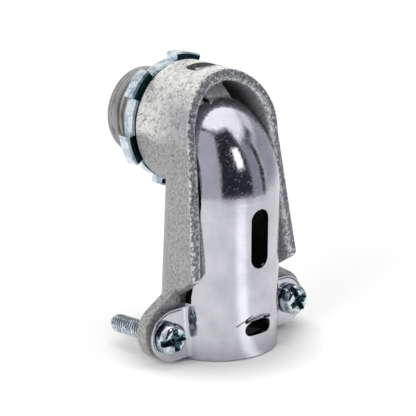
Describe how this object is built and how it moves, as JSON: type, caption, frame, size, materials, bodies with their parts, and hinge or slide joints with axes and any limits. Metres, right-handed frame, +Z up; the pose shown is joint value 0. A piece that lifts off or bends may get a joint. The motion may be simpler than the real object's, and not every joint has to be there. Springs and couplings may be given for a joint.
{
  "type": "elbow conduit connector",
  "caption": "Right-angle squeeze connector for flexible metal conduit: cast elbow with threaded nipple and locknut, and a bright hooked cover drawn shut by screws.",
  "frame": {"origin": "on the conduit's axis, in the plane of the saddle's bottom rim", "axes": "+Z up along the conduit into the fitting, +Y along the nipple out of the fitting, +X across the ears"},
  "size_m": [0.048, 0.0416, 0.0658],
  "materials": {
    "casting": "zinc plated, grainy as cast",
    "cover": "polished bright plating",
    "screws": "bright zinc plated",
    "nut": "zinc plated, faintly blue"
  },
  "bodies": {
    "casting": {"elbow_body": "casting"},
    "cover": {"clamp_cover": "cover"},
    "left_screw": {"screw_left": "screws"},
    "right_screw": {"screw_right": "screws"},
    "nut": {"locknut": "nut"}
  },
  "joints": [
    {"name": "cover_swing", "type": "hinge", "parent": "casting", "child": "cover", "pos_m": [0, 0.0037, 0.0624], "axis": [-1, 0, 0], "range_deg": [0, 4]},
    {"name": "left_screw_out", "type": "slide", "parent": "casting", "child": "left_screw", "axis": [0, -0.9962, 0.0872], "range_m": [0, 0.0045]},
    {"name": "right_screw_out", "type": "slide", "parent": "casting", "child": "right_screw", "axis": [0, -0.9962, 0.0872], "range_m": [0, 0.0045]},
    {"name": "nut_turn", "type": "hinge", "parent": "casting", "child": "nut", "pos_m": [0, 0.01595, 0.0502], "axis": [0, 1, 0], "continuous": true}
  ],
  "couplings": [
    {"joint": "left_screw_out", "follows": "cover_swing", "m_per_rad": 0.062},
    {"joint": "right_screw_out", "follows": "cover_swing", "m_per_rad": 0.062}
  ]
}
